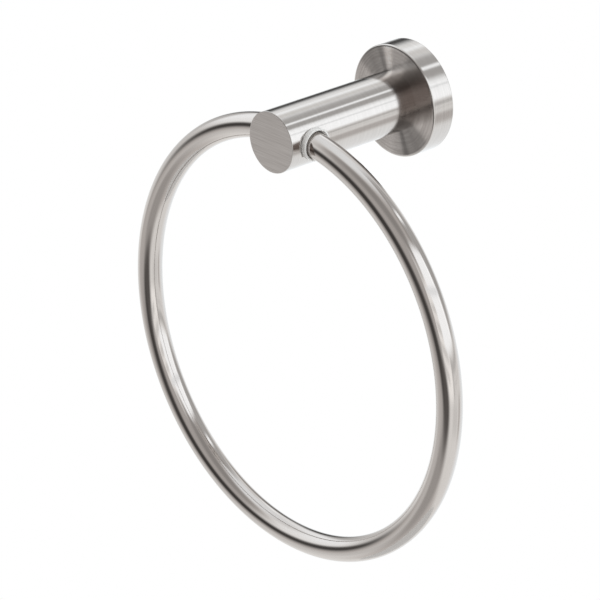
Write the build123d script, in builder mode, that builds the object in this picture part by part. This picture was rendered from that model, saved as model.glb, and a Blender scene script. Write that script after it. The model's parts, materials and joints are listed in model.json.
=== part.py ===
from build123d import *
import math
import os

os.makedirs("parts", exist_ok=True)

# A wall-mounted towel ring, in millimetres.
# The wall is the XZ plane at y = 0, the post stands out along -Y and +Z is up.
# The origin is the centre of the flange's back, on the wall.

# Ring: a round rod bent to a circle, with short straight ends that turn in the post
ring_outer_diameter = 180.0
rod_diameter = 10.0
rod_bend_radius = 15.0
rod_end_gap = 9.0
rod_end_chamfer = 0.5
straight_end_setback = 1.8

# Post: a solid round bar
post_diameter = 24.0
post_length = 63.0
post_front_chamfer = 0.4
pivot_setback = 11.0

# Flange: a turned cup, open towards the wall
flange_diameter = 44.5
flange_thickness = 10.3
flange_rim = 4.0
flange_front_wall = 4.0
flange_front_chamfer = 0.6
flange_back_chamfer = 0.3

# Bushes: plastic sleeves with a collar, one on each side of the post
running_clearance = 0.05
bush_wall = 0.75
bush_inner_overlap = 0.5
mouth_flare = 0.55
collar_shoulder = 0.5
collar_stand_out = 1.5
collar_front_chamfer = 0.2
collar_back_chamfer = 0.35
seat_depth = 0.7
seat_gap = 0.7

# Wall plate: a disc with an undercut rim and two countersunk screw holes
plate_clearance = 0.3
plate_head_room = 1.3
plate_undercut = 1.45
plate_front_chamfer = 0.3
plate_window_diameter = 13.0
wall_hole_diameter = 4.5
wall_head_diameter = 8.6
wall_hole_spacing = 24.0

# Grub screw: hex socket set screw under the flange
grub_diameter = 4.0
grub_tip_diameter = 2.0
grub_tip_length = 0.9
grub_sink = 0.6
grub_hex = 2.0
grub_hex_depth = 1.6

# Post screw: countersunk hex socket screw from the flange into the post
post_screw_diameter = 6.0
post_screw_head_diameter = 11.8
post_screw_head_land = 0.4
post_screw_reach = 12.0
post_screw_tip_chamfer = 0.8
post_screw_hex = 4.0
post_screw_hex_depth = 2.2
post_hole_allowance = 4.0
drill_point_angle = 118.0

# Clearances between a screw and its hole, and between a screw and its seat
thread_clearance = 0.05
screw_hole_clearance = 0.2
screw_seat_clearance = 0.05

# Places that follow from the sizes above
post_rear = -flange_thickness
post_front = post_rear - post_length
pivot_y = post_front + pivot_setback
post_radius = post_diameter / 2
flange_radius = flange_diameter / 2
rod_radius = rod_diameter / 2
cup_radius = flange_radius - flange_rim
cup_depth = flange_thickness - flange_front_wall

# The ring's circle, the short bends and the straight ends are tangent to each other
ring_radius = (ring_outer_diameter - rod_diameter) / 2
straight_end_x = post_radius - straight_end_setback
rod_end_x = rod_end_gap / 2
ring_drop = rod_bend_radius + math.sqrt((ring_radius - rod_bend_radius) ** 2 - straight_end_x**2)
bend_angle = math.degrees(math.atan2(straight_end_x, ring_drop - rod_bend_radius))

# The bush's steps, measured out from the middle of the post
bush_bore_radius = rod_radius + running_clearance
sleeve_radius = bush_bore_radius + bush_wall
mouth_radius = bush_bore_radius + mouth_flare
collar_radius = sleeve_radius + collar_shoulder
seat_radius = collar_radius + seat_gap
seat_x = post_radius - seat_depth
collar_face_x = post_radius + collar_stand_out
bush_inner_x = rod_end_x - bush_inner_overlap

# The wall plate's rim is widest at its front and narrows towards the wall
plate_thickness = cup_depth - plate_head_room
plate_front_radius = cup_radius - plate_clearance
plate_back_radius = plate_front_radius - plate_undercut


# Ring
with BuildPart() as ring:
    with BuildLine(Plane.XZ.offset(-pivot_y)) as ring_path:
        right_end = Line((rod_end_x, 0), (straight_end_x, 0))
        right_bend = CenterArc((straight_end_x, -rod_bend_radius), rod_bend_radius, 90, -bend_angle)
        CenterArc((0, -ring_drop), ring_radius, 90 - bend_angle, 2 * bend_angle - 360)
        mirror(right_bend, about=Plane.YZ)
        mirror(right_end, about=Plane.YZ)
    with BuildSketch(Plane(origin=(rod_end_x, pivot_y, 0), z_dir=(1, 0, 0))):
        Circle(rod_radius)
    sweep(path=ring_path.wire())
    end_faces = ring.faces().filter_by(Axis.X)
    chamfer(end_faces.edges(), rod_end_chamfer)
ring.part.label = "ring"
export_step(ring.part, "parts/ring.step")


# Post, with the cross bore and seats for the bushes and the tapped hole at its back
with BuildPart() as post:
    with BuildSketch(Plane.XZ.offset(-post_rear)):
        Circle(post_radius)
    extrude(amount=post_length)
    chamfer(post.edges().filter_by(GeomType.CIRCLE).sort_by(Axis.Y)[0], post_front_chamfer)

    with BuildSketch(Plane(origin=(0, pivot_y, 0), z_dir=(1, 0, 0))):
        Circle(sleeve_radius)
    extrude(amount=post_diameter, both=True, mode=Mode.SUBTRACT)
    for side in (-1, 1):
        with BuildSketch(Plane(origin=(side * seat_x, pivot_y, 0), z_dir=(side, 0, 0))):
            Circle(seat_radius)
        extrude(amount=post_radius, mode=Mode.SUBTRACT)

    tapped_radius = post_screw_diameter / 2 + thread_clearance
    tapped_depth = post_screw_reach + post_hole_allowance
    point_depth = tapped_radius / math.tan(math.radians(drill_point_angle / 2))
    with BuildSketch(Plane(origin=(0, post_rear, 0), x_dir=(1, 0, 0), z_dir=(0, 0, 1))):
        with BuildLine():
            Polyline(
                (0, 0),
                (tapped_radius, 0),
                (tapped_radius, -tapped_depth),
                (0, -tapped_depth - point_depth),
                close=True,
            )
        make_face()
    revolve(axis=Axis.Y, mode=Mode.SUBTRACT)
post.part.label = "post"
export_step(post.part, "parts/post.step")


# Bushes: sleeve, collar and a mouth that flares where the rod begins to bend
for side, side_name in ((-1, "left"), (1, "right")):
    with BuildPart() as bush:
        with BuildSketch(Plane(origin=(0, pivot_y, 0), x_dir=(side, 0, 0))):
            with BuildLine():
                Polyline(
                    (bush_inner_x, bush_bore_radius),
                    (straight_end_x, bush_bore_radius),
                    (collar_face_x, mouth_radius),
                    (collar_face_x, collar_radius),
                    (seat_x, collar_radius),
                    (seat_x, sleeve_radius),
                    (bush_inner_x, sleeve_radius),
                    close=True,
                )
            make_face()
        revolve(axis=Axis((0, pivot_y, 0), (1, 0, 0)))
        rim_edges = bush.edges().filter_by(
            lambda edge: edge.geom_type == GeomType.CIRCLE and abs(edge.radius - collar_radius) < 1e-6
        )
        rim_edges = rim_edges.sort_by(Axis((0, pivot_y, 0), (side, 0, 0)))
        chamfer(rim_edges[-1], collar_front_chamfer)
        chamfer(rim_edges[0], collar_back_chamfer)
    bush.part.label = f"{side_name}_bush"
    export_step(bush.part, f"parts/{side_name}_bush.step")


# Flange: front wall, rim, countersunk centre hole and the tapped hole under the rim
screw_hole_radius = post_screw_diameter / 2 + screw_hole_clearance
head_radius = post_screw_head_diameter / 2
head_seat_radius = head_radius + screw_seat_clearance
head_land_y = -cup_depth - post_screw_head_land
grub_y = -plate_thickness / 2
with BuildPart() as flange:
    with BuildSketch():
        with BuildLine():
            Polyline(
                (screw_hole_radius, -flange_thickness),
                (flange_radius, -flange_thickness),
                (flange_radius, 0),
                (cup_radius, 0),
                (cup_radius, -cup_depth),
                (head_seat_radius, -cup_depth),
                (head_seat_radius, head_land_y),
                (screw_hole_radius, head_land_y - (head_seat_radius - screw_hole_radius)),
                close=True,
            )
        make_face()
    revolve(axis=Axis.Y)
    outer_edges = flange.edges().filter_by(
        lambda edge: edge.geom_type == GeomType.CIRCLE and abs(edge.radius - flange_radius) < 1e-6
    )
    outer_edges = outer_edges.sort_by(Axis.Y)
    chamfer(outer_edges[0], flange_front_chamfer)
    chamfer(outer_edges[-1], flange_back_chamfer)
    with BuildSketch(Plane(origin=(0, grub_y, -flange_radius), z_dir=(0, 0, 1))):
        Circle(grub_diameter / 2 + thread_clearance)
    extrude(amount=flange_rim + grub_diameter, mode=Mode.SUBTRACT)
flange.part.label = "flange"
export_step(flange.part, "parts/flange.step")


# Wall plate
with BuildPart() as wall_plate:
    with BuildSketch():
        with BuildLine():
            Polyline(
                (plate_window_diameter / 2, 0),
                (plate_back_radius, 0),
                (plate_front_radius, -plate_thickness),
                (plate_window_diameter / 2, -plate_thickness),
                close=True,
            )
        make_face()
    revolve(axis=Axis.Y)
    front_edge = wall_plate.edges().filter_by(GeomType.CIRCLE).sort_by(SortBy.RADIUS)[-1]
    chamfer(front_edge, plate_front_chamfer)
    with Locations(Plane.XZ.offset(plate_thickness)):
        with GridLocations(0, wall_hole_spacing, 1, 2):
            CounterSinkHole(wall_hole_diameter / 2, wall_head_diameter / 2)
wall_plate.part.label = "wall_plate"
export_step(wall_plate.part, "parts/wall_plate.step")


# Grub screw: its tip bears on the plate's undercut rim and its socket faces down
tip_front_y = grub_y - grub_tip_diameter / 2
plate_radius_at_tip = plate_back_radius - plate_undercut * tip_front_y / plate_thickness
grub_top = -plate_radius_at_tip - screw_seat_clearance
grub_bottom = -flange_radius + grub_sink
with BuildPart() as grub_screw:
    with BuildSketch(Plane(origin=(0, grub_y, grub_bottom), z_dir=(0, 0, 1))):
        Circle(grub_diameter / 2)
    extrude(amount=grub_top - grub_bottom)
    tip_edge = grub_screw.edges().filter_by(GeomType.CIRCLE).sort_by(Axis.Z)[-1]
    chamfer(tip_edge, grub_tip_length, (grub_diameter - grub_tip_diameter) / 2)
    with BuildSketch(Plane(origin=(0, grub_y, grub_bottom), z_dir=(0, 0, 1))):
        RegularPolygon(grub_hex / 2, 6, major_radius=False)
    extrude(amount=grub_hex_depth, mode=Mode.SUBTRACT)
grub_screw.part.label = "grub_screw"
export_step(grub_screw.part, "parts/grub_screw.step")


# Post screw: head flush with the floor of the flange's cup, shank in the post
screw_radius = post_screw_diameter / 2
screw_tip_y = post_rear - post_screw_reach
with BuildPart() as post_screw:
    with BuildSketch():
        with BuildLine():
            Polyline(
                (0, -cup_depth),
                (head_radius, -cup_depth),
                (head_radius, head_land_y),
                (screw_radius, head_land_y - (head_radius - screw_radius)),
                (screw_radius, screw_tip_y + post_screw_tip_chamfer),
                (screw_radius - post_screw_tip_chamfer, screw_tip_y),
                (0, screw_tip_y),
                close=True,
            )
        make_face()
    revolve(axis=Axis.Y)
    with BuildSketch(Plane.XZ.offset(cup_depth)):
        RegularPolygon(post_screw_hex / 2, 6, major_radius=False)
    extrude(amount=post_screw_hex_depth, mode=Mode.SUBTRACT)
post_screw.part.label = "post_screw"
export_step(post_screw.part, "parts/post_screw.step")

wall_angle = math.degrees(math.asin((-pivot_y - rod_radius) / (ring_drop + ring_radius)))
print(f"ring swings {wall_angle:.1f} degrees back until the rod meets the wall")
print(f"pivot at y = {pivot_y:.2f}, ring centre {ring_drop:.2f} below it, radius {ring_radius:.2f}")
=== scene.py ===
# %% [markdown]
# Towel ring in brushed and satin nickel.
# A turned flange and post stand out of the wall, and a bent rod ring swings in two plastic bushes
# in the post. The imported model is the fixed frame: it gives every place and size, and this lesson
# adds the pieces and finishes that the eye meets.

# %% Load the frame
import json
import math

import bmesh
import bpy
from mathutils import Matrix, Vector

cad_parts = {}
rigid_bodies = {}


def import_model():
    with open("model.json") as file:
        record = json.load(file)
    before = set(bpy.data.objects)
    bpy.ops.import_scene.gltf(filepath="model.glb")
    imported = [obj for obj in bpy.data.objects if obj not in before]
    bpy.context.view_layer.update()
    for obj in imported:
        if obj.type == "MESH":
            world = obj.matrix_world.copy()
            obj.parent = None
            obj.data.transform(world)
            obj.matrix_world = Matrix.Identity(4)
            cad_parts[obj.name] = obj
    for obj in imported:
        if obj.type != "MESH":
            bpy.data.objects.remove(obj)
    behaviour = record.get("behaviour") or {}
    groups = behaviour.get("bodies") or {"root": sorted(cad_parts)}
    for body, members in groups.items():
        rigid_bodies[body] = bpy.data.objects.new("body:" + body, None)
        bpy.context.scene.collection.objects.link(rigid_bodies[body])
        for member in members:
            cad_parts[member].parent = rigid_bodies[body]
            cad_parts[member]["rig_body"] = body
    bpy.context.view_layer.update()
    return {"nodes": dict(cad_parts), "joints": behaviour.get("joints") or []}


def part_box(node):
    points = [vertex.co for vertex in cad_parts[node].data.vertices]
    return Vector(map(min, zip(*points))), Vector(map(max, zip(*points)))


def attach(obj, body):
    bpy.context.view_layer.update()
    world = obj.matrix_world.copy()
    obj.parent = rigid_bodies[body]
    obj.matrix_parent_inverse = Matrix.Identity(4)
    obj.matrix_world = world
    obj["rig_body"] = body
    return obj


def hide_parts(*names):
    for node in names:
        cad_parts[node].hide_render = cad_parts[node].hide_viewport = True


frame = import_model()
nodes = frame["nodes"]
print("CAD nodes:", sorted(nodes))

# %% [markdown]
# The frame is in metres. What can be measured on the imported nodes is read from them, so a changed
# model changes the lesson with it: the rod's thickness is the ring's depth, the post's length is
# its node's depth, and the ring's circle comes from its width and its lowest point.

# %% Measure the frame
MM = 0.001
pivot = Vector(frame["joints"][0]["pos_m"])
ring_low, ring_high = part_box("ring")
rod_radius = (ring_high.y - ring_low.y) / 2
ring_radius = (ring_high.x - ring_low.x) / 2 - rod_radius
ring_drop = pivot.z - (ring_low.z + rod_radius + ring_radius)
post_low, post_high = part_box("post")
post_radius = (post_high.z - post_low.z) / 2
flange_low, flange_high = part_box("flange")
flange_radius = (flange_high.z - flange_low.z) / 2
print(f"rod {2 * rod_radius / MM:.2f} mm thick, bent to a circle of {ring_radius / MM:.2f} mm")
print(f"post {2 * post_radius / MM:.2f} mm, flange {2 * flange_radius / MM:.2f} mm across")

# %% [markdown]
# Three small helpers serve every material. The first adds a node with its settings and its inputs,
# where an input is either a plain value or another node's output. The second turns an sRGB hex
# colour, as a paint chart gives it, into the linear values that shaders work with. The third opens
# an empty material and hands over its Principled shader.


# %% Helpers for materials
def add(tree, kind, inputs=None, **settings):
    """Adds a node to a tree, sets its properties, then fills its inputs with values or links."""
    node = tree.nodes.new(kind)
    for name, value in settings.items():
        setattr(node, name, value)
    for socket, source in (inputs or {}).items():
        if isinstance(source, bpy.types.NodeSocket):
            tree.links.new(source, node.inputs[socket])
        else:
            node.inputs[socket].default_value = source
    return node


def linear(hex_colour):
    """The linear RGBA of an sRGB colour such as #CECBC8."""
    shares = [int(hex_colour[i : i + 2], 16) / 255 for i in (1, 3, 5)]
    return [s / 12.92 if s <= 0.04045 else ((s + 0.055) / 1.055) ** 2.4 for s in shares] + [1.0]


def new_material(name, metallic=0.0):
    """A material, its node tree and its Principled shader."""
    material = bpy.data.materials.new(name)
    material.use_nodes = True
    shader = material.node_tree.nodes["Principled BSDF"]
    shader.inputs["Metallic"].default_value = metallic
    print("made material", name)
    return material, material.node_tree, shader


# %% [markdown]
# No worked surface is quite even. Scratches, polish and mould grain each change the tone a little,
# the gloss a little, and the relief. So every finish here is one noise of the right size and
# direction, used three times: between two tones, between two roughnesses, and as a fine bump.

# %% Grain
# Most values of a noise lie between these two, so they are stretched to 0 and 1.
noise_low, noise_high = 0.3, 0.7


def grained(tree, shader, noise, tones, roughness, relief, depth):
    """Lets a noise vary a shader's tone, roughness and relief, and gives the tone back."""
    grain = add(tree, "ShaderNodeMapRange", {0: noise, 1: noise_low, 2: noise_high}).outputs[0]
    tone = {0: grain, 6: linear(tones[0]), 7: linear(tones[1])}
    tone = add(tree, "ShaderNodeMix", tone, data_type="RGBA").outputs[2]
    rough = add(tree, "ShaderNodeMapRange", {0: grain, 3: roughness[0], 4: roughness[1]}).outputs[0]
    bump = {"Height": noise, "Strength": relief, "Distance": depth}
    bump = add(tree, "ShaderNodeBump", bump).outputs[0]
    tree.links.new(tone, shader.inputs["Base Color"])
    tree.links.new(rough, shader.inputs["Roughness"])
    tree.links.new(bump, shader.inputs["Normal"])
    return tone


# %% [markdown]
# Brushed nickel on the flange and the post. Both are turned, then held against an abrasive belt
# while they spin, so every scratch runs round the axis. A picture of scratches could be wrapped
# round each piece, but it would need a seam. Instead a noise is stretched in space: slowly varying
# across the piece, quickly varying along the axis and along the radius. On a side that draws rings
# round the axis, and on a flat face it draws rings round the centre.

# %% Scratches round the axis
scratch_length = 14 * MM


def ring_scratches(tree, width):
    """Noise drawn out round the Y axis into scratches of one width."""
    place = add(tree, "ShaderNodeTexCoord").outputs["Object"]
    spread = add(tree, "ShaderNodeVectorMath", {0: place, 1: (1, 0, 1)}, operation="MULTIPLY").outputs[0]
    reach = add(tree, "ShaderNodeVectorMath", {0: spread}, operation="LENGTH").outputs["Value"]
    depth = add(tree, "ShaderNodeSeparateXYZ", {0: place}).outputs["Y"]
    run = add(tree, "ShaderNodeMath", {0: reach, 1: depth}, operation="ADD").outputs[0]
    run = add(tree, "ShaderNodeMath", {0: run, 1: width}, operation="DIVIDE").outputs[0]
    run = add(tree, "ShaderNodeCombineXYZ", {"Y": run}).outputs[0]
    drawn_out = {0: spread, 1: (1 / scratch_length,) * 3, 2: run}
    lie = add(tree, "ShaderNodeVectorMath", drawn_out, operation="MULTIPLY_ADD").outputs[0]
    return add(tree, "ShaderNodeTexNoise", {"Vector": lie, "Scale": 1.0, "Detail": 4.0}).outputs["Fac"]


# %% [markdown]
# A turned disc shows fans: wedges of light and dark that open from its centre, where the scratches
# face a lamp or a dark corner of the room. Anisotropy alone gives them only under small hard lamps.
# The light here is soft, so the wedges are painted into the tone as well, by the angle round the axis:
# they are painted reflections of light and shade.


# %% Painted reflection fans on a turned face
def with_painted_fans(tree, tone, painted_fans):
    """Paints wedges of reflected light and shade into a tone round the Y axis, and gives it back."""
    place = add(tree, "ShaderNodeTexCoord").outputs["Object"]
    axes = add(tree, "ShaderNodeSeparateXYZ", {0: place}).outputs
    turn = add(tree, "ShaderNodeMath", {0: axes["Z"], 1: axes["X"]}, operation="ARCTAN2").outputs[0]
    for middle, half, soft, share, per_turn in painted_fans:
        part = math.pi / per_turn
        away = {0: turn, 1: math.radians(middle) - part}
        away = add(tree, "ShaderNodeMath", away, operation="SUBTRACT").outputs[0]
        away = add(tree, "ShaderNodeMath", {0: away, 1: 2 * part}, operation="FLOORED_MODULO").outputs[0]
        away = add(tree, "ShaderNodeMath", {0: away, 1: part}, operation="SUBTRACT").outputs[0]
        away = add(tree, "ShaderNodeMath", {0: away}, operation="ABSOLUTE").outputs[0]
        edges = {0: away, 1: math.radians(half - soft), 2: math.radians(half + soft), 3: share, 4: 1.0}
        painted_fan = add(tree, "ShaderNodeMapRange", edges, interpolation_type="SMOOTHSTEP").outputs[0]
        painted_fan = {0: 1.0, 6: tone, 7: painted_fan}
        tone = add(tree, "ShaderNodeMix", painted_fan, data_type="RGBA", blend_type="MULTIPLY").outputs[2]
    return tone


# %% [markdown]
# The scratches also smear a reflection at right angles to themselves. That is anisotropy, and its
# direction comes from a tangent that runs round the Y axis. A quarter turn lays the smear across
# the scratches.

# %% Brushed nickel, turned
groove_depth = 0.05 * MM
across_scratches = 0.25


def smear_round_y(tree, shader, smear):
    """Smears the reflections of a shader whose scratches run round the Y axis."""
    round_y = add(tree, "ShaderNodeTangent", direction_type="RADIAL", axis="Y").outputs[0]
    tree.links.new(round_y, shader.inputs["Tangent"])
    shader.inputs["Anisotropic"].default_value = smear
    shader.inputs["Anisotropic Rotation"].default_value = across_scratches


def turned_nickel(name, width, tones, roughness, smear, groove, painted_fans=()):
    """Nickel brushed round the Y axis in scratches of one width, with painted reflection fans on a face.
    """
    material, tree, shader = new_material(name, metallic=1.0)
    scratches = ring_scratches(tree, width)
    tone = grained(tree, shader, scratches, tones, roughness, relief=groove, depth=groove_depth)
    # The painted reflection fans darken and lighten the grain's tone in wedges.
    tree.links.new(with_painted_fans(tree, tone, painted_fans), shader.inputs["Base Color"])
    smear_round_y(tree, shader, smear)
    return material


# %% [markdown]
# Two finishes come from it. The sides are brushed finely, so bands of light lie sharp along them.
# The flange's front is brushed more coarsely, so its reflections are softer and its rings show.

# %% Sides and flange front
# Real scratches are about 0.05 mm wide. All these are drawn coarser, so that they show in the render.
side_scratch = 0.4 * MM
face_scratch = 0.55 * MM
# Warm pale grey: bands of light lie sharp along the piece, with a faint fine grain across them.
side_nickel = turned_nickel(
    "brushed_nickel_turned", side_scratch, ("#C9C5C2", "#D2CECB"), (0.11, 0.14), smear=0.5, groove=0.12
)
# The same grey with faint rings, and with soft painted reflections: fans of light and dark from the
# centre.
# Middle, half width and softness in degrees, share of the tone, and how often it comes in a turn.
# A share below 1 is painted shade, and one above 1 is a painted highlight.
painted_front_fans = [
    (128, 20, 5, 0.66, 2),
    (111, 4, 3, 0.78, 2),
    (131, 5, 5, 0.9, 2),
    (-57, 31, 8, 0.8, 1),
    (99, 5, 5, 1.53, 1),
    (55, 13, 7, 0.65, 1),
    (-71, 6, 5, 0.8, 1),
]
face_tones = ("#C6C1BE", "#E1DDDA")
front_nickel = turned_nickel(
    "brushed_nickel_faced", face_scratch, face_tones, (0.17, 0.2), smear=1.0, groove=0.3, painted_fans=painted_front_fans
)

# %% [markdown]
# The end of the post is not turned smooth but drawn once across a flat belt, so its scratches are
# straight and level. The same noise does it with plain axes: long along X, short along Z.

# %% Brushed nickel, straight
# An even mid grey with a faint level grain and no fan of light.
end_scratch = 0.25 * MM

end_nickel, tree, shader = new_material("brushed_nickel_straight", metallic=1.0)
place = add(tree, "ShaderNodeTexCoord").outputs["Object"]
lie = {"Vector": place, "Scale": (1 / scratch_length, 1 / end_scratch, 1 / end_scratch)}
lie = add(tree, "ShaderNodeMapping", lie).outputs[0]
scratches = add(tree, "ShaderNodeTexNoise", {"Vector": lie, "Scale": 1.0, "Detail": 4.0}).outputs["Fac"]
grained(tree, shader, scratches, ("#C5C0BD", "#DFDBD8"), (0.28, 0.32), relief=0.05, depth=groove_depth)

# %% [markdown]
# Satin nickel on the ring. The rod is polished along its length before it is bent, so its faint
# lines follow it round. The noise reads where each point lay on the straight rod, which the rod's
# mesh keeps as an attribute: thin across the rod and long along it.

# %% Satin nickel
# Almost a mirror, softened a little across the rod, so that windows and walls show in it as bands.
polish_length = 40 * MM
polish_width = 0.3 * MM
polish_depth = 0.02 * MM

satin_nickel, tree, shader = new_material("satin_nickel_rod", metallic=1.0)
place = add(tree, "ShaderNodeAttribute", attribute_name="straight_rod").outputs["Vector"]
lie = {"Vector": place, "Scale": (1 / polish_width, 1 / polish_width, 1 / polish_length)}
lie = add(tree, "ShaderNodeMapping", lie).outputs[0]
lines = add(tree, "ShaderNodeTexNoise", {"Vector": lie, "Scale": 1.0, "Detail": 3.0}).outputs["Fac"]
grained(tree, shader, lines, ("#CCC7C3", "#D0CBC8"), (0.08, 0.12), relief=0.1, depth=polish_depth)
smear_round_y(tree, shader, smear=0.3)

# %% [markdown]
# Natural nylon for the bushes, moulded in a finely spark-eroded tool: off-white, slightly waxy,
# with a dull sheen. Light enters the plastic about a millimetre deep, which evens out its shading,
# and a fine grain keeps its gloss even.

# %% Nylon
# Milky off-white that stays soft at its edges.
mould_grain = 0.15 * MM
mould_grain_depth = 0.02 * MM
light_depth = 1.2 * MM

nylon, tree, shader = new_material("natural_nylon_moulded")
place = add(tree, "ShaderNodeTexCoord").outputs["Object"]
grain = {"Vector": place, "Scale": 1 / mould_grain, "Detail": 2.0}
grain = add(tree, "ShaderNodeTexNoise", grain).outputs["Fac"]
grained(tree, shader, grain, ("#ECEBE8", "#EEEDEB"), (0.36, 0.46), relief=0.1, depth=mould_grain_depth)
shader.inputs["IOR"].default_value = 1.53
shader.inputs["Subsurface Weight"].default_value = 0.8
shader.inputs["Subsurface Radius"].default_value = (1.0, 1.0, 1.0)
shader.inputs["Subsurface Scale"].default_value = light_depth

# %% [markdown]
# The wall plate and the two screws sit behind and inside the flange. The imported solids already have
# their exact forms, so they stay and only get a finish. Zinc plating is a thin coat with a cloudy,
# bluish sheen. The screws are bare stainless steel, a little darker. Both could be one plain colour,
# but a fine grain in the tone and the gloss keeps them from looking like plastic.

# %% Hidden steel
steel_grain_depth = 0.05 * MM


def grainy_steel(name, size, tones, roughness):
    """Steel with an even grain of one size, between two tones and two roughnesses."""
    material, tree, shader = new_material(name, metallic=1.0)
    place = add(tree, "ShaderNodeTexCoord").outputs["Object"]
    grain = {"Vector": place, "Scale": 1 / size, "Detail": 3.0}
    grain = add(tree, "ShaderNodeTexNoise", grain).outputs["Fac"]
    grained(tree, shader, grain, tones, roughness, relief=0.1, depth=steel_grain_depth)
    return material


# A cloudy, bluish pale grey without sharp reflections.
zinc = grainy_steel("zinc_plated_steel", 0.8 * MM, ("#C8CCCF", "#D4D8DB"), (0.32, 0.42))
# A darker, neutral grey with a tighter shine.
stainless = grainy_steel("stainless_screw_steel", 0.2 * MM, ("#B5B3B1", "#C3C1BF"), (0.24, 0.32))
for name, material in (("wall_plate", zinc), ("grub_screw", stainless), ("post_screw", stainless)):
    nodes[name].material_slots[0].material = material
    print(name, "is finished in", material.name)

# %% [markdown]
# Turned pieces are made as a lathe makes them: half of the section is drawn as a profile and spun
# once round the axis. The spin's own merge closes its seam, and a merge of doubles closes the poles
# where a profile ends on the axis.

# %% Spinning a profile
turn_steps = 256
same_place = 0.001 * MM


def spun(profile, centre, axis):
    """A solid of revolution from the points of half its section."""
    shape = bmesh.new()
    corners = [shape.verts.new(point) for point in profile]
    for first, second in zip(corners, corners[1:]):
        shape.edges.new((first, second))
    bmesh.ops.spin(
        shape,
        geom=shape.verts[:] + shape.edges[:],
        cent=centre,
        axis=axis,
        angle=2 * math.pi,
        steps=turn_steps,
        use_merge=True,
    )
    bmesh.ops.remove_doubles(shape, verts=shape.verts, dist=same_place)
    bmesh.ops.recalc_face_normals(shape, faces=shape.faces)
    return shape


# %% [markdown]
# Then the sharp rims get a small rounded bevel, because no edge is perfectly sharp and it is the rim
# that catches the light.

# %% Rounding rims
rim_angle = math.radians(25)
rim_segments = 5
# A row of points this far past each round keeps the faces beside it flat. Without it, smooth shading
# would bend the light across the whole face.
flat_margin = 0.05 * MM


def round_rims(shape, offset, chosen=None):
    """Rounds the sharp edges of a shape, or those whose middle is chosen."""
    sharp = [edge for edge in shape.edges if edge.is_manifold and edge.calc_face_angle() > rim_angle]
    if chosen:
        sharp = [edge for edge in sharp if chosen((edge.verts[0].co + edge.verts[1].co) / 2)]
    bmesh.ops.bevel(
        shape, geom=sharp, offset=offset, affect="EDGES", segments=rim_segments, profile=0.5, material=-1
    )


# %% [markdown]
# Holes are cut with a Boolean, which is the one tool here that isn't a bmesh operator: it finds where
# a drill's surface meets a curved side. The cut is applied at once, so the finished piece is a plain
# mesh.


# %% Boring a piece
def as_object(name, shape):
    """Moves a bmesh into a new object in the scene."""
    mesh = bpy.data.meshes.new(name)
    shape.to_mesh(mesh)
    shape.free()
    piece = bpy.data.objects.new(name, mesh)
    bpy.context.scene.collection.objects.link(piece)
    return piece


def bore(piece, shape):
    """Cuts a shape out of a piece and applies the cut, so that no modifier stays on it."""
    drill = as_object("drill", shape)
    cut = piece.modifiers.new("cut", "BOOLEAN")
    cut.operation = "DIFFERENCE"
    cut.solver = "EXACT"
    cut.object = drill
    made = piece.evaluated_get(bpy.context.evaluated_depsgraph_get())
    mesh = bpy.data.meshes.new_from_object(made)
    piece.modifiers.clear()
    piece.data = mesh
    bpy.data.objects.remove(drill)


# %% [markdown]
# A finished piece takes the place of its imported solid. It gets its materials and smooth shading with
# sharp edges, and rides on the solid's body. The flat front of a turned piece takes a second material.

# %% Settling a piece
shading_angle = math.radians(32)
same_plane = 0.01 * MM
squarely_forward = -0.999


def settle(piece, materials, node):
    """Finishes a piece that stands for a CAD node: shading, materials and body."""
    for material in materials:
        piece.data.materials.append(material)
    piece.data.shade_smooth()
    piece.data.set_sharp_from_angle(angle=shading_angle)
    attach(piece, nodes[node]["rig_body"])
    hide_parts(node)
    print(piece.name, "stands for", node, "with", len(piece.data.polygons), "faces")


def give_front(piece, front):
    """Gives the flat front of a turned piece its second material."""
    for face in piece.data.polygons:
        if face.normal.y < squarely_forward and face.center.y < front + same_plane:
            face.material_index = 1


# %% [markdown]
# The flange is a cup turned from bar. Its front is flat with a narrow chamfer, its back is hollow
# for the wall plate, and a countersunk hole in its front wall takes the screw that holds the post.

# %% Flange
flange_front_wall = 4 * MM
flange_rim = 4 * MM
flange_front_chamfer = 0.7 * MM
flange_chamfer_depth = 0.25 * MM
chamfer_edge_round = 0.4 * MM
flange_back_round = 0.3 * MM
screw_hole_radius = 3.2 * MM
screw_seat_radius = 5.95 * MM
screw_head_land = 0.4 * MM

front, back = flange_low.y, flange_high.y
cup_radius = flange_radius - flange_rim
cup_floor = front + flange_front_wall
seat_floor = cup_floor - screw_head_land
edge_margin = chamfer_edge_round + flat_margin
back_margin = flange_back_round + flat_margin
flange_half_section = [
    (screw_hole_radius, front, 0),
    (flange_radius - flange_front_chamfer - edge_margin, front, 0),
    (flange_radius - flange_front_chamfer, front, 0),
    (flange_radius, front + flange_chamfer_depth, 0),
    (flange_radius, front + flange_chamfer_depth + edge_margin, 0),
    (flange_radius, back - back_margin, 0),
    (flange_radius, back, 0),
    (flange_radius - back_margin, back, 0),
    (cup_radius, back, 0),
    (cup_radius, cup_floor, 0),
    (screw_seat_radius, cup_floor, 0),
    (screw_seat_radius, seat_floor, 0),
    (screw_hole_radius, seat_floor - (screw_seat_radius - screw_hole_radius), 0),
    (screw_hole_radius, front, 0),
]
flange_shape = spun(flange_half_section, (0, 0, 0), (0, 1, 0))
# The two rims of the side lie outside this radius. The edges inside the cup stay sharp.
outer_rims = flange_radius - 1.5 * flange_front_chamfer
for offset, side in ((chamfer_edge_round, -1), (flange_back_round, 1)):
    round_rims(
        flange_shape,
        offset,
        lambda at: math.hypot(at.x, at.z) > outer_rims and (at.y - cup_floor) * side > 0,
    )
flange_cup = as_object("flange_cup", flange_shape)

# %% [markdown]
# Under the rim, a tapped hole takes the grub screw. It is drilled straight up through the wall of
# the cup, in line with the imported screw.

# %% Grub screw hole
grub_hole_radius = 2.05 * MM
grub_hole_sides = 64

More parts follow.
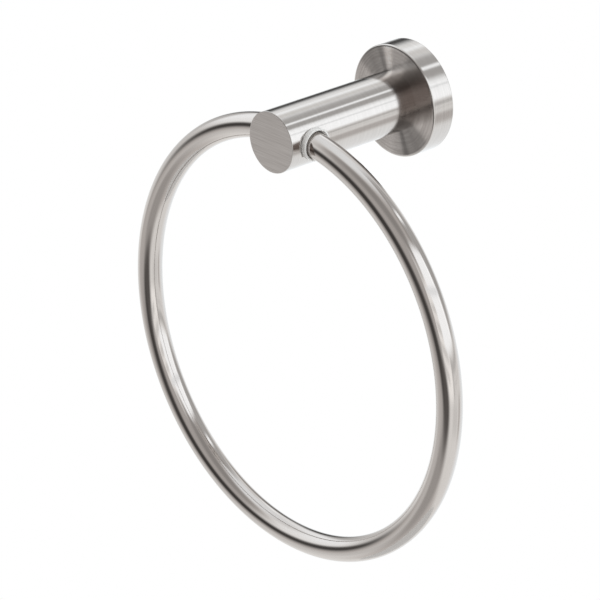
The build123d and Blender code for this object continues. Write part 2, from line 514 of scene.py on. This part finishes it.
grub_low, grub_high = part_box("grub_screw")
grub_y = (grub_low.y + grub_high.y) / 2
grub_drill = bmesh.new()
bmesh.ops.create_cone(
    grub_drill,
    cap_ends=True,
    segments=grub_hole_sides,
    radius1=grub_hole_radius,
    radius2=grub_hole_radius,
    depth=2 * flange_rim,
    matrix=Matrix.Translation((0, grub_y, -flange_radius + flange_rim / 2)),
)
bore(flange_cup, grub_drill)
settle(flange_cup, [side_nickel, front_nickel], "flange")
give_front(flange_cup, front)

# %% [markdown]
# The post is a solid bar with a tapped hole in its back. It is spun like the flange, and the edge of
# its end is only just broken.

# %% Post
post_front_round = 0.2 * MM
tapped_radius = 3.05 * MM
tapped_depth = 16 * MM
drill_half_angle = math.radians(59)

front, back = post_low.y, post_high.y
hole_end = back - tapped_depth
front_margin = post_front_round + flat_margin
post_half_section = [
    (0, front, 0),
    (post_radius - front_margin, front, 0),
    (post_radius, front, 0),
    (post_radius, front + front_margin, 0),
    (post_radius, back, 0),
    (tapped_radius, back, 0),
    (tapped_radius, hole_end, 0),
    (0, hole_end - tapped_radius / math.tan(drill_half_angle), 0),
]
post_shape = spun(post_half_section, (0, 0, 0), (0, 1, 0))
round_rims(post_shape, post_front_round, lambda at: at.y < front + same_plane)
post_bar = as_object("post_bar", post_shape)

# %% [markdown]
# The post is bored across for the bushes: a through hole for their sleeves, with a shallow flat seat
# at each side for their collars. The seats are a little wider than the collars, which leaves the
# dark line round them.

# %% Bore across the post
sleeve_radius = 5.8 * MM
seat_radius = 7.0 * MM
seat_depth = 0.7 * MM
past_surface = 3 * MM

seat_x = post_radius - seat_depth
open_x = post_radius + past_surface
bore_half_section = [
    (-open_x, 0),
    (-open_x, seat_radius),
    (-seat_x, seat_radius),
    (-seat_x, sleeve_radius),
    (seat_x, sleeve_radius),
    (seat_x, seat_radius),
    (open_x, seat_radius),
    (open_x, 0),
]
across = [(x, pivot.y, pivot.z + radius) for x, radius in bore_half_section]
bore(post_bar, spun(across, pivot, (1, 0, 0)))
settle(post_bar, [side_nickel, end_nickel], "post")
give_front(post_bar, front)

# %% [markdown]
# Each bush is a moulded sleeve with a collar. Its bore fits the rod with a running clearance and
# flares at the mouth, where the rod begins to bend. It is spun round the ring's pivot. The collar's
# edges are rounded as a mould leaves them.

# %% Bushes
running_clearance = 0.05 * MM
mouth_flare = 0.55 * MM
collar_radius = 6.3 * MM
collar_stand_out = 1.5 * MM
moulded_round = 0.16 * MM
bush_inner_x = 4 * MM
straight_end_x = 10.2 * MM

bore_radius = rod_radius + running_clearance
collar_face_x = post_radius + collar_stand_out
bush_half_section = [
    (bush_inner_x, bore_radius),
    (straight_end_x, bore_radius),
    (collar_face_x, bore_radius + mouth_flare),
    (collar_face_x, collar_radius),
    (seat_x, collar_radius),
    (seat_x, sleeve_radius),
    (bush_inner_x, sleeve_radius),
    (bush_inner_x, bore_radius),
]
for side, name in ((-1, "left_bush"), (1, "right_bush")):
    section = [(side * x, pivot.y, pivot.z + radius) for x, radius in bush_half_section]
    bush_shape = spun(section, pivot, (1, 0, 0))
    round_rims(bush_shape, moulded_round)
    bush = as_object(name + "_sleeve", bush_shape)
    settle(bush, [nylon], name)

# %% [markdown]
# The ring is one rod. It is made here as the maker does it: a straight rod is cut to length, its
# ends are rounded, and then it is bent. First comes the rule of the bend. It lists the rod's runs,
# straight or round, from one end to the other, and follows them to the place of any point.

# %% How the rod is bent
rod_bend_radius = 15 * MM
rod_end_x = 4.5 * MM

bend_angle = math.atan2(straight_end_x, ring_drop - rod_bend_radius)
straight = straight_end_x - rod_end_x
bend = rod_bend_radius * bend_angle
around = ring_radius * (2 * math.pi - 2 * bend_angle)
rod_runs = [
    (straight, None),
    (bend, rod_bend_radius),
    (around, ring_radius),
    (bend, rod_bend_radius),
    (straight, None),
]
rod_length = sum(length for length, _ in rod_runs)


def bent(point):
    """Where a point of the straight rod lies after bending. X is outwards, Z is along the rod."""
    left = point.z
    spot = Vector((rod_end_x, 0, pivot.z))
    heading = 0.0
    for length, radius in rod_runs:
        step = min(left, length)
        inward = Vector((math.sin(heading), 0, -math.cos(heading)))
        if radius:
            spot += radius * inward
            heading -= step / radius
            inward = Vector((math.sin(heading), 0, -math.cos(heading)))
            spot -= radius * inward
        else:
            spot += step * Vector((math.cos(heading), 0, math.sin(heading)))
        left -= step
        if left <= 0:
            break
    return spot - point.x * inward + Vector((0, pivot.y + point.y, 0))


print(f"the straight rod is {rod_length / MM:.1f} mm long")

# %% [markdown]
# Now the rod itself. Each point first notes where it lies on the straight rod, which the satin finish
# reads, and then moves to where the bend takes it. A sweep along a curve would give the same shape,
# but not the record of the straight rod.

# %% Ring
rod_end_round = 0.5 * MM
rod_end_segments = 4
rod_sides = 96
rod_steps = 640

rod = bmesh.new()
bmesh.ops.create_cone(
    rod,
    cap_ends=True,
    segments=rod_sides,
    radius1=rod_radius,
    radius2=rod_radius,
    depth=rod_length,
    matrix=Matrix.Translation((0, 0, rod_length / 2)),
)
long_edges = [edge for edge in rod.edges if edge.calc_length() > rod_length / 2]
bmesh.ops.subdivide_edges(rod, edges=long_edges, cuts=rod_steps - 1, use_grid_fill=True)
end_edges = [edge for edge in rod.edges if edge.calc_face_angle() > rim_angle]
bmesh.ops.bevel(
    rod,
    geom=end_edges,
    offset=rod_end_round,
    affect="EDGES",
    segments=rod_end_segments,
    profile=0.5,
    material=-1,
)
straight_rod = rod.verts.layers.float_vector.new("straight_rod")
for vertex in rod.verts:
    vertex[straight_rod] = vertex.co
    vertex.co = bent(vertex.co)
bmesh.ops.recalc_face_normals(rod, faces=rod.faces)
ring_rod = as_object("ring_rod", rod)
settle(ring_rod, [satin_nickel], "ring")

# %% [markdown]
# The light. Bright metal shows its surroundings more than itself, so the studio is described as a
# white room with soft panels in it, one over the other: scrims and cards that are pale, a softbox
# with a louvre to the right, a shelf below it, grey cards, and dark flags that give the metal its
# contrast. Lamps could do the same, but each would need its own diffuser. A panel is given by where
# it faces and by its edges, all in degrees. Facing 0 is straight ahead of the part, and 90 is to its
# right. A level of 1 is white. Places and levels were chosen by comparing the bands on the
# metal with those in the picture, and on the whole the part is lit plainly.

# %% Studio panels
BROWN = (1.0, 0.94, 0.9)
WARM = (1.0, 0.965, 0.94)
COOL = (1.0, 1.04, 1.07)
PLAIN = (1.0, 1.0, 0.99)
# Name, shape, facing, pitch, roll, left to right, low to high, softness of the edge, level, tint
panels = [
    ("front scrim", "card", 0, 0, 0, (-89, 89), (20, 89), 8, 1.04, PLAIN),
    ("left bounce card", "disc", -84, 26, 0, (-44, 32), (-23, 30), 24, 1.26, COOL),
    ("left top card", "disc", -90, 59, 0, (-18, 18), (-16, 14), 10, 0.84, PLAIN),
    ("rear table", "card", -172, -31, 0, (-31, 56), (-20, 28), 16, 1.1, COOL),
    ("top scrim", "disc", 180, 80, 0, (-44, 44), (-36, 34), 16, 1.06, COOL),
    ("top grey card", "card", 64, 66, 0, (-55, 50), (-16, 18), 12, 0.62, WARM),
    ("left low card", "disc", -72, -36, 0, (-18, 20), (-12, 12), 8, 0.84, PLAIN),
    ("near table", "disc", 0, -66, 0, (-26, 24), (-30, 22), 10, 0.7, WARM),
    ("front table", "disc", 4, -44, 0, (-36, 30), (-20, 28), 12, 0.47, WARM),
    ("front table edge", "card", -36, -22, 0, (-28, 26), (-7, 8), 7, 0.63, WARM),
    ("front grey card", "card", 0, 30, 0, (-29.5, 44), (-36, 40), 11, 0.55, WARM),
    ("front top card", "disc", 22, 57, 0, (-32, 36), (-16, 18), 10, 0.37, WARM),
    ("left grey card", "card", -100, -3, 0, (-30, 34), (-10, 10), 9, 0.78, PLAIN),
    ("rear beam", "card", 164, 61, 0, (-34, 10), (-9, 8), 7, 0.46, WARM),
    ("rear grey card", "card", 162, 38, 0, (-24, 19), (-14, 17), 7, 0.54, PLAIN),
    ("rear low card", "card", 164, 12, 0, (-24, 22), (-14, 16), 9, 0.52, PLAIN),
    ("rear strip light", "card", 155, 48, -48, (-12, 9), (-2.6, 2.6), 2.2, 1.45, COOL),
    ("rear corner card", "card", -146, 41, 0, (-4, 7), (-7, 3), 4, 1.35, COOL),
    ("rear top card", "disc", -155, 48.5, 0, (-7, 7), (-6, 5), 5, 0.89, PLAIN),
    ("rear left card", "disc", -155, 21, 0, (-14, 11), (-12, 12), 6, 0.43, WARM),
    ("left edge card", "disc", -111, 8, 0, (-12, 14), (-10, 11), 7, 0.64, PLAIN),
    ("left flag, rear part", "disc", -143.5, 14, 0, (-8, 7), (-9, 9), 6, 0.14, PLAIN),
    ("left flag", "disc", -130, 9, 0, (-11, 11), (-16, 11), 9, 0.07, PLAIN),
    ("softbox", "card", 88, 0, 0, (-25, 50), (2.5, 51), 4, 1.4, COOL),
    ("softbox side", "card", 130, 13, 0, (-5, 4), (-9, 9), 3, 1.5, COOL),
    ("softbox corner", "card", 134, 29, 0, (-8, 5.5), (-10, 8), 3, 1.5, COOL),
    ("softbox wing", "card", 88, 0, 0, (-51, -24), (2.5, 35), 3, 1.24, PLAIN),
    ("softbox wing tip", "card", 42, 31, 0, (-5, 5), (-8, 7), 5, 0.9, PLAIN),
    ("softbox bar", "card", 88, 0, 0, (-48, 56), (28, 32), 1.4, 1.12, COOL),
    ("upper louvre slat", "card", 88, 0, 0, (-47, -21), (19, 24), 2, 0.92, PLAIN),
    ("middle louvre slat", "card", 88, 0, 0, (-47, -22), (8.5, 15), 2, 0.9, PLAIN),
    ("shelf shadow", "card", 137, -25, 0, (-8, 6), (-10, 7.5), 6, 0.62, WARM),
    ("shelf underside", "card", 102, -28, 0, (-22, 14), (-7, 8), 5, 0.86, PLAIN),
    ("shelf", "card", 112, 0, 0, (-26, 14), (-19, 0), 2.5, 0.95, PLAIN),
    ("shelf bracket", "card", 92, 0, 0, (-5, 5), (-18, 0), 3, 0.72, PLAIN),
    ("shelf end", "card", 112, 0, 0, (13, 32), (-19, 0), 2.5, 0.99, PLAIN),
    ("shelf line", "card", 112, 0, 0, (-26, 32), (-12.5, -11), 1, 0.84, PLAIN),
    ("shelf edge", "card", 112, 0, 0, (-26, 32), (-7, -1.5), 2, 0.68, PLAIN),
    ("low strip light", "card", 64, 0, 0, (-26, 22), (-19, -3), 4, 1.28, PLAIN),
    ("lower louvre slat", "card", 88, 0, 0, (-48, -16), (-1.5, 3), 2, 0.9, PLAIN),
    ("lowest louvre slat", "card", 88, 0, 0, (-48, -22), (-14, -8), 2, 0.92, PLAIN),
    ("front flag, left", "disc", -57, -6, 16, (-14, 20), (-10, 11), 8, 0.09, BROWN),
    ("front flag, middle", "disc", -25, -1.5, 3, (-33, 33), (-16.5, 16.5), 10, 0.065, BROWN),
    ("front flag, turn", "disc", 4, -12.5, -28, (-25, 26), (-16, 14), 9, 0.075, BROWN),
    ("front flag, right", "disc", 23, -23, 0, (-18, 21), (-14, 16), 9, 0.13, BROWN),
]
print(len(panels), "panels in a white room")

# %% [markdown]
# The world's shader lays one panel after the other over the white room. Each needs a mask that is 1
# inside its edges and 0 outside, with a soft step between. A ray's direction is turned into the
# panel's own axes, and the angles to the side and upwards are compared with its edges: each for
# itself on a card, and both together, as on an ellipse, on a disc.

# %% World of panels
world = bpy.data.worlds.new("studio")
bpy.context.scene.world = world
world.use_nodes = True
tree = world.node_tree
tree.nodes.clear()
direction = add(tree, "ShaderNodeTexCoord").outputs["Generated"]


def panel_mask(shape, facing, pitch, roll, sides, heights, soft):
    """The share of a panel, 0 to 1, that a ray of the world meets."""
    turn = Matrix.Rotation(math.radians(facing), 3, "Z") @ Matrix.Rotation(math.radians(-pitch), 3, "X")
    turn = turn @ Matrix.Rotation(math.radians(-roll), 3, "Y")
    parts = []
    for axis in ((0, -1, 0), (1, 0, 0), (0, 0, 1)):
        part = {0: direction, 1: turn @ Vector(axis)}
        parts.append(add(tree, "ShaderNodeVectorMath", part, operation="DOT_PRODUCT").outputs["Value"])
    ahead, across, above = parts
    soft = math.radians(soft)
    distances = []
    halves = []
    for offset, (first, last) in ((across, sides), (above, heights)):
        middle = math.radians(first + last) / 2
        halves.append(math.radians(last - first) / 2)
        angle = add(tree, "ShaderNodeMath", {0: offset, 1: ahead}, operation="ARCTAN2").outputs[0]
        away = add(tree, "ShaderNodeMath", {0: angle, 1: middle}, operation="SUBTRACT").outputs[0]
        distances.append(add(tree, "ShaderNodeMath", {0: away}, operation="ABSOLUTE").outputs[0])
    if shape == "disc":
        shares = add(tree, "ShaderNodeCombineXYZ", {0: distances[0], 1: distances[1]}).outputs[0]
        sizes = (1 / halves[0], 1 / halves[1], 0)
        shares = add(tree, "ShaderNodeVectorMath", {0: shares, 1: sizes}, operation="MULTIPLY").outputs[0]
        distances = [add(tree, "ShaderNodeVectorMath", {0: shares}, operation="LENGTH").outputs["Value"]]
        soft = soft / min(halves)
        halves = [1]
    mask = 1.0
    for distance, half in zip(distances, halves):
        fade = {0: distance, 1: half - soft, 2: half + soft, 3: 1.0, 4: 0.0}
        fade = add(tree, "ShaderNodeMapRange", fade, interpolation_type="SMOOTHSTEP").outputs[0]
        mask = add(tree, "ShaderNodeMath", {0: fade, 1: mask}, operation="MULTIPLY").outputs[0]
    return mask


light = PLAIN + (1.0,)
for _, *form, level, tint in panels:
    colour = [level * share for share in tint] + [1.0]
    covered = {0: panel_mask(*form), 6: light, 7: colour}
    light = add(tree, "ShaderNodeMix", covered, data_type="RGBA").outputs[2]
print("the world has", len(tree.nodes), "nodes")

# %% [markdown]
# Two things are added to the room. The camera sees plain white behind the part, while the metal
# mirrors the panels. And light that meets the metal twice on its way to the eye, as in the corner
# between the post and the flange, is dimmed where it comes from the front right. That is a liberty
# and not physics: the panels alone leave that corner paler than it is in the picture.

# %% White background and shaded corner
corner_facing = Vector((0.66, -0.73, 0.17))
corner_shade = (0.28, 0.24, 0.225, 1.0)
# Cosines of the angles to that facing at which the shade begins and is full.
shade_begins, shade_full = 0.25, 0.8
mirrored_once = 1

rays = add(tree, "ShaderNodeLightPath").outputs
shown = {0: rays["Is Camera Ray"], 6: light, 7: (1, 1, 1, 1)}
shown = add(tree, "ShaderNodeMix", shown, data_type="RGBA").outputs[2]
again = {0: rays["Glossy Depth"], 1: mirrored_once}
again = add(tree, "ShaderNodeMath", again, operation="GREATER_THAN").outputs[0]
towards = {0: direction, 1: corner_facing}
towards = add(tree, "ShaderNodeVectorMath", towards, operation="DOT_PRODUCT").outputs["Value"]
towards = add(tree, "ShaderNodeMapRange", {0: towards, 1: shade_begins, 2: shade_full}).outputs[0]
again = add(tree, "ShaderNodeMath", {0: again, 1: towards}, operation="MULTIPLY").outputs[0]
shaded = {0: again, 6: shown, 7: corner_shade}
shaded = add(tree, "ShaderNodeMix", shaded, data_type="RGBA", blend_type="MULTIPLY").outputs[2]
background = add(tree, "ShaderNodeBackground", {"Color": shaded, "Strength": 1.0})
add(tree, "ShaderNodeOutputWorld", {"Surface": background.outputs[0]})
print("background is white to the camera")

# %% [markdown]
# A plain pale floor lies well below the part, which hangs on a wall. It is a painted disc with a
# faint mottle. It takes light and shadow like any paint, and to the camera it is lifted to white, so
# that it melts into the background without hiding the shadow.

# %% Floor
floor_drop = 1.4
floor_radius = 0.5
floor_sides = 96
paint_mottle = 20 * MM
camera_lift = 0.15

floor_shape = bmesh.new()
bmesh.ops.create_circle(
    floor_shape,
    cap_ends=True,
    segments=floor_sides,
    radius=floor_radius,
    matrix=Matrix.Translation((0, 0, -floor_drop)),
)
floor = as_object("floor", floor_shape)
# Nearly white and quite dull.
paint, tree, shader = new_material("pale_floor_paint")
place = add(tree, "ShaderNodeTexCoord").outputs["Object"]
mottle = add(tree, "ShaderNodeTexNoise", {"Vector": place, "Scale": 1 / paint_mottle}).outputs["Fac"]
tone = {0: mottle, 6: linear("#F0F0EF"), 7: linear("#F5F5F4")}
tone = add(tree, "ShaderNodeMix", tone, data_type="RGBA").outputs[2]
lift = add(tree, "ShaderNodeLightPath").outputs["Is Camera Ray"]
lift = add(tree, "ShaderNodeMath", {0: lift, 1: camera_lift}, operation="MULTIPLY").outputs[0]
tree.links.new(tone, shader.inputs["Base Color"])
shader.inputs["Roughness"].default_value = 0.8
shader.inputs["Emission Color"].default_value = (1, 1, 1, 1)
tree.links.new(lift, shader.inputs["Emission Strength"])
floor.data.materials.append(paint)
print(f"floor {floor_drop:.1f} m below the post")

# %% [markdown]
# The camera looks from the right of the part and from above it, far away with a long lens, so that
# the ring is hardly narrowed by distance. Its angles, distance and aim were found by laying the
# part's outlines over those in the picture.

# %% Camera
azimuth = math.radians(47.55)
elevation = math.radians(24.7215)
distance = 1.297067
aim = Vector((-20.4412, -40.0, -81.5767)) * MM
lens_mm = 198.8
sensor_mm = 36

level_reach = math.cos(elevation)
towards_camera = Vector(
    (math.sin(azimuth) * level_reach, -math.cos(azimuth) * level_reach, math.sin(elevation))
)
camera = bpy.data.objects.new("camera", bpy.data.cameras.new("camera"))
bpy.context.scene.collection.objects.link(camera)
camera.data.sensor_width = sensor_mm
camera.data.lens = lens_mm
camera.location = aim + towards_camera * distance
camera.rotation_euler = (-towards_camera).to_track_quat("-Z", "Y").to_euler()
bpy.context.scene.camera = camera
bpy.context.scene.view_settings.view_transform = "Standard"
print("camera at", [round(value, 3) for value in camera.location])
